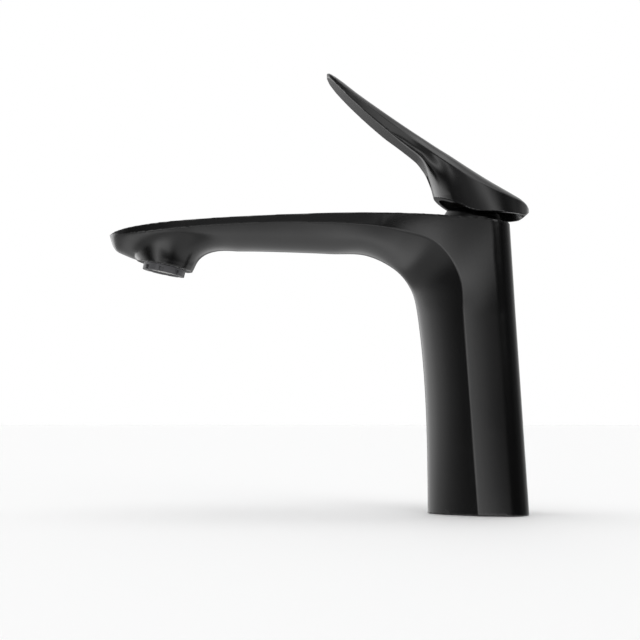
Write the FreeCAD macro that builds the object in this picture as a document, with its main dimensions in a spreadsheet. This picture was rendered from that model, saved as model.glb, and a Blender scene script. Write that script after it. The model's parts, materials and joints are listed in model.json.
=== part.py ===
import FreeCAD, Part
import math
import os
import Sketcher

from FreeCAD import Placement, Rotation, Vector

# Single-lever basin mixer. Millimetres, +Z up, spout towards -Y, symmetric about the YZ plane.
# The origin is the middle of the base's footprint, on the deck.

os.makedirs("parts", exist_ok=True)
doc = FreeCAD.newDocument("basin_mixer")
sheet = doc.addObject("Spreadsheet::Sheet", "dims")

DIMENSIONS = {
    # body casting
    "wall": 3.4,
    "nose_front": 26.0,
    "rear_base": 20.3,
    "rear_lean": 0.0585,
    "crease_base": 4.3,
    "crease_lean": 0.066,
    "half_width_base": 19.0,
    "half_width_top": 20.6,
    "half_width_rear": 22.4,
    "rear_half_base": 21.4,
    "rear_half_lean": 0.0158,
    "rear_corner": 9.5,
    "cavity_top": 84.0,
    "rebate_inset": 1.5,
    "gasket_width": 4.0,
    "gasket_height": 2.5,
    # supply ports, stud hole and waterways in the casting
    "port_radius": 4.5,
    "port_depth": 12.0,
    "port_spread": 6.8,
    "port_back": 3.4,
    "stud_radius": 3.4,
    "stud_depth": 14.0,
    "stud_back": 8.0,
    "duct_radius": 3.6,
    "duct_low": 93.6,
    "duct_front": 21.0,
    "duct_bend": 47.0,
    "duct_high": 130.4,
    # cartridge bore, measured down from the column's top face
    "axis_y": 3.6,
    "axis_top": 138.2,
    "axis_tilt": 6.0,
    "peg_side": 8.5,
    "peg_front": 6.2,
    "bore_radius": 12.7,
    "bore_depth": 34.0,
    "thread_radius": 13.25,
    "thread_depth": 7.0,
    "way_radius": 2.3,
    "way_side": 5.2,
    "way_rear": 2.4,
    "way_front": 5.6,
    # cartridge
    "base_radius": 12.45,
    "base_height": 7.5,
    "peg_radius": 1.4,
    "peg_length": 3.0,
    "seal_outer": 3.5,
    "seal_inner": 2.35,
    "seal_height": 1.6,
    "disc_seal_height": 1.2,
    "fixed_disc_radius": 10.7,
    "disc_height": 3.5,
    "moving_disc_radius": 8.2,
    "carrier_height": 5.0,
    "socket_radius": 2.4,
    "chamber_radius": 10.9,
    "chamber_height": 16.2,
    "housing_height": 19.5,
    "neck_radius": 9.9,
    "neck_bore": 8.6,
    "neck_height": 10.0,
    "rotor_radius": 8.5,
    "flange_radius": 10.6,
    "flange_height": 1.9,
    "rotor_height": 15.8,
    "slot_half_width": 2.55,
    "slot_half_length": 6.0,
    "pin_radius": 1.5,
    "pin_depth": 5.0,
    "pin_length": 16.6,
    "running_gap": 0.04,
    "ring_outer": 10.8,
    "ring_inner": 8.8,
    "ring_height": 2.0,
    "stop_radius": 10.1,
    "stop_half_angle": 58.0,
    "nib_half_angle": 12.0,
    # lever stem, measured from its pin
    "rest_lift": 8.0,
    "arm_length": 10.1,
    "ball_radius": 2.3,
    "stem_half": 2.5,
    "square_half": 3.5,
    "square_start": 10.0,
    "stem_length": 22.5,
    # nut and cap over the cartridge
    "nut_gap": 0.05,
    "nut_bore": 10.1,
    "nut_crown_radius": 12.4,
    "nut_crown_height": 3.6,
    "cap_radius": 14.2,
    "cap_inner": 13.2,
    "cap_height": 7.0,
    "cap_opening": 9.3,
    "cap_wall": 1.0,
    # outlet: the boss face, its tilt and the aerator
    "outlet_y": 152.05,
    "outlet_z": 117.65,
    "outlet_tilt": 11.7,
    "boss_radius": 13.4,
    "outlet_bore": 10.3,
    "outlet_depth": 9.6,
    "aerator_radius": 10.15,
    "aerator_bore": 8.6,
    "aerator_proud": 3.1,
    "aerator_inside": 8.0,
    "aerator_lip": 7.7,
    "aerator_lip_height": 0.8,
    "notch_width": 2.2,
    "notch_depth": 1.1,
    "cell_pitch": 2.3,
    "cell_radius": 0.95,
    "grid_height": 2.2,
    "grid_radius": 8.5,
    "screen_height": 0.6,
    "screen_depth": 2.4,
    "regulator_height": 3.2,
    "regulator_depth": 4.4,
    "washer_bore": 7.4,
    # handle
    "hub_centre": 0.8,
    "hub_half_length": 22.7,
    "hub_half_width": 19.7,
    "hub_wall": 1.3,
    "hollow_top": 152.0,
    "hollow_start": 138.0,
    "hollow_end": 153.0,
    "hollow_taper_y": 2.4,
    "hollow_taper_x": 4.4,
    "socket_boss": 7.5,
    "socket_boss_start": 18.0,
    "screw_radius": 2.5,
    "screw_length": 7.0,
    "screw_height": 20.5,
    "plug_length": 2.2,
}

for row, (alias, number) in enumerate(DIMENSIONS.items(), start=1):
    sheet.set("A%d" % row, alias)
    sheet.set("B%d" % row, str(number))
    sheet.setAlias("B%d" % row, alias)
doc.recompute()


def value(terms):
    """The number that a sum of cells, such as 'bore_radius - nut_gap', comes to."""
    total, sign = 0.0, 1.0
    for token in terms.split():
        if token in "+-":
            sign = 1.0 if token == "+" else -1.0
        else:
            total += sign * (float(token) if token[0].isdigit() else float(sheet.get(token)))
    return total


def formula(terms):
    """The same sum as an expression that the document evaluates."""
    words = terms.split()
    return " ".join(w if w in "+-" or w[0].isdigit() else "dims." + w for w in words)


# ---------------------------------------------------------------- frames

CARTRIDGE = Placement(Vector(0, -value("axis_y"), value("axis_top")),
                      Rotation(Vector(1, 0, 0), -value("axis_tilt")))
OUTLET = Placement(Vector(0, -value("outlet_y"), value("outlet_z")),
                   Rotation(Vector(1, 0, 0), -value("outlet_tilt")))


def on_cartridge(height, x=0.0, y=0.0):
    """A placement on the cartridge's axis, height above the column's top face."""
    return CARTRIDGE * Placement(Vector(x, y, height), Rotation())


def in_outlet(depth, x=0.0, y=0.0):
    """A placement on the outlet's axis, depth inwards from the boss's face."""
    return OUTLET * Placement(Vector(x, y, depth), Rotation())


PIVOT = on_cartridge(-value("pin_depth"))
STEM = PIVOT * Placement(Vector(0, 0, 0), Rotation(Vector(1, 0, 0), -value("rest_lift")))


# ---------------------------------------------------------------- makers

nodes = {}


def keep(label, thing, placement=None):
    """Registers a finished sub-part under its label."""
    thing.Label = label
    if placement is not None:
        thing.Placement = placement
    nodes[label] = thing
    return thing


def new_sketch(body, name, role):
    sketch = body.newObject("Sketcher::SketchObject", name)
    plane = [f for f in body.Origin.OriginFeatures if f.Role == role][0]
    sketch.AttachmentSupport = [(plane, "")]
    sketch.MapMode = "FlatFace"
    return sketch


def hold_point(sketch, geo, pos, across, up):
    """Ties a sketch point's two coordinates to the sheet."""
    for kind, terms in (("DistanceX", across), ("DistanceY", up)):
        if value(terms) == 0:
            axis = -2 if kind == "DistanceX" else -1
            sketch.addConstraint(Sketcher.Constraint("PointOnObject", geo, pos, axis))
        else:
            index = sketch.addConstraint(Sketcher.Constraint(kind, -1, 1, geo, pos, value(terms)))
            sketch.setExpression("Constraints[%d]" % index, formula(terms))


def draw_outline(sketch, outline):
    """A closed outline of straight lines through (across, up) corners given as sums of cells."""
    corners = [Vector(value(a), value(u), 0) for a, u in outline]
    for i, corner in enumerate(corners):
        sketch.addGeometry(Part.LineSegment(corner, corners[(i + 1) % len(corners)]), False)
    for i, (across, up) in enumerate(outline):
        sketch.addConstraint(Sketcher.Constraint("Coincident", i - 1 if i else len(outline) - 1, 2, i, 1))
        hold_point(sketch, i, 1, across, up)


def turned(label, outline, placement):
    """A piece turned about its own Z axis from (radius, height) corners."""
    body = doc.addObject("PartDesign::Body", label)
    sketch = new_sketch(body, label + "_outline", "XZ_Plane")
    draw_outline(sketch, outline)
    turn = body.newObject("PartDesign::Revolution", label + "_turn")
    turn.Profile = sketch
    turn.ReferenceAxis = (sketch, ["V_Axis"])
    turn.Angle = 360
    body.Tip = turn
    return keep(label, body, placement)


def drill(body, name, circles, depth):
    """Round pockets up through a body from its own XY plane; circles are (x, y, radius, sign of x)."""
    sketch = new_sketch(body, name + "_circles", "XY_Plane")
    for index, (across, along, radius) in enumerate(circles):
        centre = Vector(value(across), value(along), 0)
        sketch.addGeometry(Part.Circle(centre, Vector(0, 0, 1), value(radius)), False)
        hold_point(sketch, index, 3, across, along)
        size = sketch.addConstraint(Sketcher.Constraint("Radius", index, value(radius)))
        sketch.setExpression("Constraints[%d]" % size, formula(radius))
    doc.recompute()
    before = body.Shape.Volume
    pocket = body.newObject("PartDesign::Pocket", name)
    pocket.Profile = sketch
    pocket.Length = value(depth)
    pocket.setExpression("Length", formula(depth))
    pocket.Reversed = True
    body.Tip = pocket
    doc.recompute()
    if body.Shape.Volume >= before - 0.1:
        raise RuntimeError(name + " cut nothing")
    return pocket


def primitive(kind, name, sizes, placement=None):
    """A Part primitive whose properties follow the sheet."""
    solid = doc.addObject("Part::" + kind, name)
    for prop, terms in sizes.items():
        setattr(solid, prop, value(terms))
        solid.setExpression(prop, formula(terms))
    solid.Placement = placement or Placement()
    return solid


def joined(name, pieces):
    fuse = doc.addObject("Part::MultiFuse", name)
    fuse.Shapes = pieces
    return fuse


def cut(name, base, tools):
    tool = tools[0] if len(tools) == 1 else joined(name + "_tools", tools)
    result = doc.addObject("Part::Cut", name)
    result.Base = base
    result.Tool = tool
    return result


def free_shape(label, shape, placement=None):
    """A sub-part whose form only Part's own functions can give."""
    feature = doc.addObject("Part::Feature", label)
    feature.Shape = shape
    return keep(label, feature, placement)


# ---------------------------------------------------------------- body casting

INNER_BEND = (-60.0, 95.0)      # Y and Z of the centre that the neck's sections fan around


def bezier(points):
    curve = Part.BezierCurve()
    curve.setPoles(points)
    return curve.toShape()


def section(nose_y, nose_z, angle, crease, half_width, outer, outer_half, nose_angle=30.0, side_pull=0.2):
    """One closed section of the casting, in a plane through the nose point.

    angle turns the plane's outward direction from the rear (0, on the column) to straight up
    (90, on the spout). crease and outer are distances from the nose along that direction.
    """
    turn = math.radians(angle)

    def at(across, out):
        return Vector(across, nose_y + out * math.cos(turn), nose_z + out * math.sin(turn))

    lead = 0.38 * math.hypot(half_width, crease)
    pull_x = half_width - lead * math.sin(math.radians(nose_angle))
    pull_out = crease - lead * math.cos(math.radians(nose_angle))
    blunt = 0.52 * half_width
    # The two middle poles lie where they bring the curve's apex onto the nose point.
    nose_out = -(2 * crease + 10 * pull_out) / 20
    nose = bezier([at(-half_width, crease), at(-pull_x, pull_out), at(-blunt, nose_out),
                   at(blunt, nose_out), at(pull_x, pull_out), at(half_width, crease)])
    middle = (crease + outer) / 2
    waist = half_width + side_pull * (middle - crease)
    right = bezier([at(half_width, crease), at(waist, middle), at(outer_half, outer)])
    back = Part.LineSegment(at(outer_half, outer), at(-outer_half, outer)).toShape()
    left = bezier([at(-outer_half, outer), at(-waist, middle), at(-half_width, crease)])
    return Part.Wire([nose, right, back, left])


def column_section(height, inset=0.0, beyond=0.0):
    """The column's plan outline at a height, inset by a wall thickness or run on past its rear."""
    nose_y = -value("nose_front") - 5.2e-6 * height ** 3
    crease_y = -value("crease_base") - value("crease_lean") * height
    rear_y = value("rear_base") - value("rear_lean") * height
    share = height / INNER_BEND[1]
    half = value("half_width_base") + share * (value("half_width_top") - value("half_width_base"))
    front = nose_y + 1.35 * inset
    return section(front, height, 0, crease_y - front, half - inset, rear_y - inset + beyond - front,
                   value("half_width_rear") + 0.05 * beyond - inset)


def neck_section(angle, keel, crease, half_width, outer, outer_half):
    """A section of the elbow; keel, crease and outer are distances from the inner bend's centre."""
    turn = math.radians(angle)
    return section(INNER_BEND[0] + keel * math.cos(turn), INNER_BEND[1] + keel * math.sin(turn),
                   angle, crease - keel, half_width, outer - keel, outer_half)


def casting_blank():
    """The casting's outer form, which runs on past its rear and its top."""
    levels = [8.0 * i for i in range(12)] + [INNER_BEND[1]]
    wires = [column_section(z, beyond=14.0) for z in levels]
    elbow = (
        (20, 29.0, 50.6, 20.7, 85.0, 23.1),
        (40, 28.6, 49.0, 20.7, 94.7, 22.9),
        (60, 28.15, 43.0, 20.3, 82.7, 21.5),
        (78, 28.5, 39.6, 19.8, 63.7, 20.2),
    )
    wires += [neck_section(*row) for row in elbow]
    spout = (
        # y, keel height, crease height, half width at the crease and above the top
        (-72.0, 123.9, 135.4, 19.3, 18.8),
        (-92.0, 124.7, 136.2, 18.5, 17.2),
        (-114.0, 125.2, 136.0, 17.9, 16.3),
        (-136.0, 124.6, 134.8, 17.6, 15.6),
        (-152.0, 120.8, 133.2, 17.0, 14.8),
        (-163.0, 120.4, 132.0, 15.2, 13.0),
        (-170.5, 123.3, 131.3, 12.4, 10.4),
        (-175.5, 126.3, 130.9, 8.4, 6.8),
        (-178.2, 129.3, 130.8, 3.2, 2.2),
    )
    for y, keel, crease, half, top_half in spout:
        wires.append(section(y, keel, 90, crease - keel, half, crease - keel + 10.0, top_half, 40.0, -0.02))
    return Part.makeLoft(wires, True, False, False, 5)


def rear_outline(height, inset=0.0):
    """The column's rear edge in plan, from corner to corner: two large arcs and a nearly flat one."""
    half = value("rear_half_base") + value("rear_half_lean") * height - inset
    corner = value("rear_corner") - 0.6 * inset
    rear = value("rear_base") - value("rear_lean") * height - inset
    bulge = 0.5
    arc = corner * (1 - math.sqrt(0.5))
    arc_y = rear - arc - 0.35 * bulge
    left = Part.Arc(Vector(-half, rear - corner, height), Vector(arc - half, arc_y, height),
                    Vector(corner - half, rear - bulge, height))
    back = Part.Arc(Vector(corner - half, rear - bulge, height), Vector(0, rear, height),
                    Vector(half - corner, rear - bulge, height))
    right = Part.Arc(Vector(half - corner, rear - bulge, height), Vector(half - arc, arc_y, height),
                     Vector(half, rear - corner, height))
    return [left.toShape(), back.toShape(), right.toShape()]


def rear_cutter(inset=0.0):
    """All that lies behind the column's rear edge, which leans and widens with the column."""
    wires = []
    for height in (-12.0, 178.0):
        edges = rear_outline(height, inset)
        start, end = edges[0].Vertexes[0].Point, edges[-1].Vertexes[-1].Point
        corners = [end, Vector(80, end.y, height), Vector(80, 80, height), Vector(-80, 80, height),
                   Vector(-80, start.y, height), start]
        edges += [Part.LineSegment(a, b).toShape() for a, b in zip(corners, corners[1:])]
        wires.append(Part.Wire(edges))
    return Part.makeLoft(wires, True, True)


def top_line():
    """The casting's upper side outline, from the column's rear corner to the spout's tip."""
    line = Part.BSplineCurve()
    line.interpolate([Vector(0, y, z) for y, z in
                      ((14.0, 136.2), (0.0, 137.8), (-20.0, 139.9), (-54.0, 141.4), (-92.0, 140.7),
                       (-123.0, 139.3), (-142.0, 138.0), (-160.0, 136.2), (-170.0, 134.7),
                       (-180.0, 132.2))])
    return line


def everything_below(line):
    """A solid under a YZ line, wider than the casting."""
    start, end = line.StartPoint, line.EndPoint
    far, deep = Vector(0, 40, start.z), -5.0
    edges = [Part.LineSegment(far, start).toShape(), line.toShape()]
    corners = [end, Vector(0, -200, end.z), Vector(0, -200, deep), Vector(0, 40, deep), far]
    edges += [Part.LineSegment(a, b).toShape() for a, b in zip(corners, corners[1:])]
    slab = Part.Face(Part.Wire(edges)).extrude(Vector(80, 0, 0))
    slab.translate(Vector(-40, 0, 0))
    return slab


def tube_along(points, radius):
    """A round duct through a list of points, with slightly larger balls at its corners."""
    shape = None
    for a, b in zip(points, points[1:]):
        run = Part.makeCylinder(radius, a.distanceToPoint(b), a, b - a)
        shape = run if shape is None else shape.fuse(run)
    for corner in points[1:-1]:
        shape = shape.fuse(Part.makeSphere(1.05 * radius, corner))
    return shape


def placed(shape, placement):
    shape.Placement = placement
    return shape


def outlet_boss():
    """A skirt that grows out of the spout's keel and ends in the round outlet face."""
    radius = value("boss_radius")
    rings = (
        # height over the outlet face, then how far it flares at the rear, at the sides and at the front
        (0.0, 0.0, 0.0, 0.0),
        (2.6, 0.75, 0.3, 2.5),
        (5.2, 1.5, 0.7, 3.6),
        (7.8, 2.65, 1.2, 4.0),
        (10.4, 5.2, 1.7, 3.6),
        (13.0, 9.9, 2.1, 2.6),
        (15.0, 10.8, 2.1, 1.6),
    )
    wires = []
    for height, rear, side, front in rings:
        points = []
        for step in range(48):
            turn = math.radians(7.5 * step)
            back = math.cos(turn)
            flare = side + (rear - side) * max(0.0, back) ** 3 + (front - side) * max(0.0, -back) ** 3
            points.append(Vector((radius + flare) * math.sin(turn), (radius + flare) * back, height))
        ring = Part.BSplineCurve()
        ring.interpolate(points, PeriodicFlag=True)
        wires.append(Part.Wire(ring.toShape()))
    return placed(Part.makeLoft(wires, True), OUTLET)


def base_plate(inset, height):
    """A plate of the base's outline, inset, standing on the deck."""
    outline = Part.Face(column_section(0.0, inset, 10.0))
    return outline.extrude(Vector(0, 0, height)).cut(rear_cutter(inset))


def body_casting():
    form = casting_blank().fuse(outlet_boss())
    form = form.common(everything_below(top_line())).cut(rear_cutter())
    top = value("cavity_top")
    wall = value("wall")
    levels = [-1.0 + (top + 1.0) * i / 6 for i in range(7)]
    cavity = Part.makeLoft([column_section(z, wall, 10.0) for z in levels], True, False, False, 5)
    cavity = cavity.cut(rear_cutter(wall))
    rebate = base_plate(value("rebate_inset"), value("gasket_height"))
    bore = placed(Part.makeCylinder(value("bore_radius"), 60), on_cartridge(-value("bore_depth")))
    thread = placed(Part.makeCylinder(value("thread_radius"), 30), on_cartridge(-value("thread_depth")))
    tools = [cavity, rebate, bore, thread]
    seat = -value("bore_depth")
    ways = ((-value("way_side"), value("way_rear")), (value("way_side"), value("way_rear")))
    for side, (x, y) in zip((-1, 1), ways):
        port = Vector(side * value("port_spread"), -value("port_back"), top - 1)
        tools.append(Part.makeCylinder(value("port_radius"), value("port_depth") + 1, port))
        high = on_cartridge(seat + 1.0, x, y).Base
        low = port + Vector(0, 0, value("port_depth") - 1)
        tools.append(Part.makeCylinder(value("way_radius"), low.distanceToPoint(high), low, high - low))
    stud = Vector(0, value("stud_back"), top - 1)
    tools.append(Part.makeCylinder(value("stud_radius"), value("stud_depth") + 1, stud))
    mixed = on_cartridge(seat + 1.0, 0, -value("way_front")).Base
    drop = Vector(0, mixed.y + 0.6, value("duct_low"))
    tools.append(Part.makeCylinder(value("way_radius"), mixed.distanceToPoint(drop), drop, mixed - drop))
    turn_up = Vector(0, -value("duct_front"), value("duct_low"))
    under_bend = Vector(0, -value("duct_front") - 5.3, value("duct_low") + 12.4)
    over_bend = Vector(0, -value("duct_bend"), value("duct_high"))
    above_outlet = Vector(0, 6.0 - value("outlet_y"), value("duct_high") - 0.8)
    tools.append(tube_along([drop, turn_up, under_bend, over_bend, above_outlet], value("duct_radius")))
    tools.append(placed(Part.makeCylinder(value("outlet_bore"), value("outlet_depth") + 20),
                        in_outlet(-20.0)))
    for x in (-value("peg_side"), value("peg_side")):
        peg_hole = Part.makeCylinder(value("peg_radius + running_gap"), value("peg_length") + 1)
        tools.append(placed(peg_hole, on_cartridge(seat - value("peg_length"), x, -value("peg_front"))))
    for tool in tools:
        form = form.cut(tool)
    return form.removeSplitter()


free_shape("body_casting", body_casting())


def base_gasket():
    """The rubber ring in the rebate around the casting's open base."""
    inset = value("rebate_inset") + 0.08
    height = value("gasket_height")
    return base_plate(inset, height).cut(base_plate(inset + value("gasket_width"), height))


free_shape("base_gasket", base_gasket())

# ---------------------------------------------------------------- cartridge, from its seat up

SEAT = -value("bore_depth")
WAYS = (("way_side", "way_rear"), ("0 - way_side", "way_rear"), ("0", "0 - way_front"))


def at_ways(height):
    """Placements on the three water ways, at a height on the cartridge's axis."""
    return [on_cartridge(height, value(x), value(y)) for x, y in WAYS]


base = turned("cartridge_base_blank", [("0", "0"), ("base_radius", "0"), ("base_radius", "base_height"),
                                       ("0", "base_height")], Placement())
nodes.pop("cartridge_base_blank")
drill(base, "cartridge_base_ways", [(x, y, "way_radius") for x, y in WAYS], "base_height")
drill(base, "cartridge_base_recesses", [(x, y, "seal_outer") for x, y in WAYS], "seal_height")
pegs = [primitive("Cylinder", "locating_peg_%d" % i, {"Radius": "peg_radius", "Height": "peg_length + 1"},
                  Placement(Vector(x, -value("peg_front"), -value("peg_length")), Rotation()))
        for i, x in enumerate((-value("peg_side"), value("peg_side")))]
keep("cartridge_base", joined("cartridge_base", [base] + pegs), on_cartridge(SEAT))

# The three port seals fill the recesses in the base's underside.
rings = []
for i, (x, y) in enumerate(WAYS):
    spot = Placement(Vector(value(x), value(y), 0), Rotation())
    outer = primitive("Cylinder", "port_seal_outer_%d" % i, {"Radius": "seal_outer", "Height": "seal_height"},
                      spot)
    inner = primitive("Cylinder", "port_seal_inner_%d" % i, {"Radius": "seal_inner", "Height": "seal_height"},
                      spot)
    rings.append(cut("port_seal_%d" % i, outer, [inner]))
keep("port_seals", joined("port_seals", rings), on_cartridge(SEAT))

DISC_SEAL_AT = SEAT + value("base_height")
disc_seal = turned("disc_seal", [("0", "0"), ("fixed_disc_radius", "0"),
                                 ("fixed_disc_radius", "disc_seal_height"), ("0", "disc_seal_height")],
                   on_cartridge(DISC_SEAL_AT))
drill(disc_seal, "disc_seal_ways", [(x, y, "way_radius") for x, y in WAYS], "disc_seal_height")

FIXED_DISC_AT = DISC_SEAL_AT + value("disc_seal_height")
fixed_disc = turned("fixed_ceramic_disc", [("0", "0"), ("fixed_disc_radius", "0"),
                                           ("fixed_disc_radius", "disc_height"), ("0", "disc_height")],
                    on_cartridge(FIXED_DISC_AT))
drill(fixed_disc, "fixed_disc_ways", [(x, y, "way_radius") for x, y in WAYS], "disc_height")

# The moving disc and its carrier slide together, so they stand off the axis at rest.
SLIDE = -value("arm_length") * math.sin(math.radians(value("rest_lift")))
MOVING_DISC_AT = FIXED_DISC_AT + value("disc_height")
moving = turned("moving_ceramic_disc", [("0", "0"), ("moving_disc_radius", "0"),
                                        ("moving_disc_radius", "disc_height"), ("0", "disc_height")],
                on_cartridge(MOVING_DISC_AT, 0, SLIDE))
drill(moving, "mixing_chamber", [("0", "0", "socket_radius + way_radius")], "seal_height")

CARRIER_AT = MOVING_DISC_AT + value("disc_height")
turned("disc_carrier", [("socket_radius", "0.8"), ("0", "0.8"), ("0", "0"), ("moving_disc_radius", "0"),
                        ("moving_disc_radius", "carrier_height"), ("socket_radius", "carrier_height")],
       on_cartridge(CARRIER_AT, 0, SLIDE))

HOUSING_AT = DISC_SEAL_AT
turned("cartridge_housing", [("chamber_radius", "0"), ("base_radius", "0"), ("base_radius", "housing_height"),
                             ("neck_radius", "housing_height"),
                             ("neck_radius", "housing_height + neck_height"),
                             ("neck_bore", "housing_height + neck_height"),
                             ("neck_bore", "chamber_height"), ("chamber_radius", "chamber_height")],
       on_cartridge(HOUSING_AT))

# The rotor turns with the lever. Its nib meets the limit ring's stops.
ROTOR_AT = HOUSING_AT + value("chamber_height") - value("flange_height") - 0.1
NECK_TOP = HOUSING_AT + value("housing_height + neck_height")
rotor_blank = turned("rotor_blank", [("0", "0"), ("flange_radius", "0"), ("flange_radius", "flange_height"),
                                     ("rotor_radius", "flange_height"), ("rotor_radius", "rotor_height"),
                                     ("0", "rotor_height")], on_cartridge(ROTOR_AT))
nodes.pop("rotor_blank")
slot = primitive("Box", "stem_slot", {"Length": "slot_half_width + slot_half_width",
                                      "Width": "slot_half_length + slot_half_length",
                                      "Height": "rotor_height + rotor_height"},
                 on_cartridge(ROTOR_AT - 2, -value("slot_half_width"), -value("slot_half_length")))
ACROSS = Rotation(Vector(0, 1, 0), 90)
pin_hole = primitive("Cylinder", "rotor_pin_hole", {"Radius": "pin_radius", "Height": "pin_length + 6"},
                     PIVOT * Placement(Vector(-value("pin_length") / 2 - 3, 0, 0), ACROSS))
nib = primitive("Cylinder", "rotor_nib", {"Radius": "stop_radius - 0.3", "Height": "ring_height - 0.5",
                                          "Angle": "nib_half_angle + nib_half_angle"},
                on_cartridge(NECK_TOP + 0.25) * Placement(
                    Vector(0, 0, 0), Rotation(Vector(0, 0, 1), 90 - value("nib_half_angle"))))
keep("rotor", cut("rotor", joined("rotor_with_nib", [rotor_blank, nib]), [slot, pin_hole]))

pivot_pin = primitive("Cylinder", "pivot_pin", {"Radius": "pin_radius", "Height": "pin_length"},
                      PIVOT * Placement(Vector(-value("pin_length") / 2, 0, 0), ACROSS))
keep("pivot_pin", pivot_pin)

# The limit ring is open at the rear, where the rotor's nib swings between its stops.
ring_blank = primitive("Cylinder", "limit_ring_blank", {"Radius": "ring_outer", "Height": "ring_height"},
                       on_cartridge(NECK_TOP))
ring_bore = primitive("Cylinder", "limit_ring_bore", {"Radius": "ring_inner", "Height": "ring_height"},
                      on_cartridge(NECK_TOP))
window = primitive("Cylinder", "limit_ring_window", {"Radius": "stop_radius", "Height": "ring_height",
                                                     "Angle": "stop_half_angle + stop_half_angle"},
                   on_cartridge(NECK_TOP) * Placement(
                       Vector(0, 0, 0), Rotation(Vector(0, 0, 1), 90 - value("stop_half_angle"))))
keep("temperature_limit_ring", cut("temperature_limit_ring", ring_blank, [ring_bore, window]))

# ---------------------------------------------------------------- lever stem

blade = primitive("Box", "stem_blade", {"Length": "stem_half + stem_half",
                                        "Width": "stem_half + stem_half",
                                        "Height": "square_start + 4"},
                  Placement(Vector(-value("stem_half"), -value("stem_half"), -3.0), Rotation()))
square = primitive("Box", "stem_square", {"Length": "square_half + square_half",
                                          "Width": "square_half + square_half",
                                          "Height": "stem_length - square_start"},
                   Placement(Vector(-value("square_half"), -value("square_half"), value("square_start")),
                             Rotation()))
arm = primitive("Cylinder", "stem_arm", {"Radius": "pin_radius", "Height": "arm_length"},
                Placement(Vector(0, 0, -value("arm_length")), Rotation()))
ball = primitive("Sphere", "stem_ball", {"Radius": "ball_radius"},
                 Placement(Vector(0, 0, -value("arm_length")), Rotation()))
eye = primitive("Cylinder", "stem_eye", {"Radius": "stem_half + 0.6", "Height": "stem_half + stem_half"},
                Placement(Vector(-value("stem_half"), 0, 0), ACROSS))
stem_bore = primitive("Cylinder", "stem_bore", {"Radius": "pin_radius + running_gap", "Height": "pin_length"},
                      Placement(Vector(-value("pin_length") / 2, 0, 0), ACROSS))
stem = cut("lever_stem", joined("stem_solid", [blade, square, arm, ball, eye]), [stem_bore])
keep("lever_stem", stem, STEM)

# ---------------------------------------------------------------- nut, cap and ring seal

NUT_AT = -value("thread_depth")
nut = turned("nut_blank", [("nut_bore", "0"), ("thread_radius - nut_gap", "0"),
                           ("thread_radius - nut_gap", "thread_depth"), ("nut_crown_radius", "thread_depth"),
                           ("nut_crown_radius", "thread_depth + 1.3"), ("nut_crown_radius - 0.8",
                                                                        "thread_depth + 1.3"),
                           ("nut_crown_radius - 0.8", "thread_depth + 2.8"),
                           ("nut_crown_radius", "thread_depth + 2.8"),
                           ("nut_crown_radius", "thread_depth + nut_crown_height"),
                           ("nut_bore + 1.2", "thread_depth + nut_crown_height"),
                           ("nut_bore + 1.2", "thread_depth + 2"), ("nut_bore", "thread_depth + 2")],
             on_cartridge(NUT_AT))
nodes.pop("nut_blank")
spanner_slots = [primitive("Box", "spanner_slot_%d" % i, {"Length": "nut_bore + nut_bore + 8",
                                                          "Width": "notch_width + notch_width",
                                                          "Height": "nut_crown_height"},
                           on_cartridge(0) * Placement(Vector(0, 0, 0), Rotation(Vector(0, 0, 1), 90 * i))
                           * Placement(Vector(-value("nut_bore") - 4, -value("notch_width"), 2.9),
                                       Rotation()))
                 for i in range(2)]
keep("retaining_nut", cut("retaining_nut", nut, spanner_slots))

cap_ring = primitive("Torus", "cap_seal_ring", {"Radius1": "nut_crown_radius", "Radius2": "0.72"},
                     on_cartridge(2.05))
keep("cap_seal_ring", cap_ring)

turned("dome_cap", [("cap_inner", "0.1"), ("cap_radius", "0.1"), ("cap_radius", "1.9"),
                    ("cap_radius - 0.5", "3.5"), ("cap_radius - 1.5", "5"), ("cap_radius - 2.9", "6.2"),
                    ("cap_radius - 4.4", "cap_height"), ("cap_opening", "cap_height"),
                    ("cap_opening", "cap_height - cap_wall"), ("cap_radius - 4.6", "cap_height - cap_wall"),
                    ("cap_radius - 2.6", "4.6"), ("cap_inner", "3.2")], on_cartridge(0))

# ---------------------------------------------------------------- handle


def handle_section(y, top, crease_half, crease, low_half, low):
    """A section of the handle at one Y: flat below, leaning sides and a crowned top."""
    def at(x, z):
        return Vector(x, y, z)
    edges = [Part.LineSegment(at(-low_half, low), at(low_half, low)).toShape()]
    edges.append(Part.LineSegment(at(low_half, low), at(crease_half, crease)).toShape())
    edges.append(bezier([at(crease_half, crease), at(0.62 * crease_half, top + 0.02 * (top - crease)),
                         at(0.3 * crease_half, top), at(0, top)]))
    edges.append(bezier([at(0, top), at(-0.3 * crease_half, top),
                         at(-0.62 * crease_half, top + 0.02 * (top - crease)), at(-crease_half, crease)]))
    edges.append(Part.LineSegment(at(-crease_half, crease), at(-low_half, low)).toShape())
    return Part.Wire(edges)


def handle_under_line():
    """The handle's lower side outline: blade, neck, hub rim and rear."""
    blade_end = Vector(0, -29.4, 170.4)
    rim_front = Vector(0, -21.6, 151.0)
    neck = Part.BezierCurve()
    neck.setPoles([blade_end, Vector(0, -25.2, 167.0), Vector(0, -22.4, 159.0), rim_front])
    rim = Part.BSplineCurve()
    rim_line = ((-16.0, 147.9), (-11.5, 145.9), (-7.3, 143.3), (-2.5, 142.1), (6.0, 141.7), (15.0, 141.5),
                (20.5, 141.9), (24.2, 145.0))
    rim.interpolate([rim_front] + [Vector(0, y, z) for y, z in rim_line])
    blade = Part.BezierCurve()
    blade.setPoles([Vector(0, -74.5, 210.8), Vector(0, -60.0, 194.6), Vector(0, -43.0, 181.3), blade_end])
    return [blade.toShape(), neck.toShape(), rim.toShape()]


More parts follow.
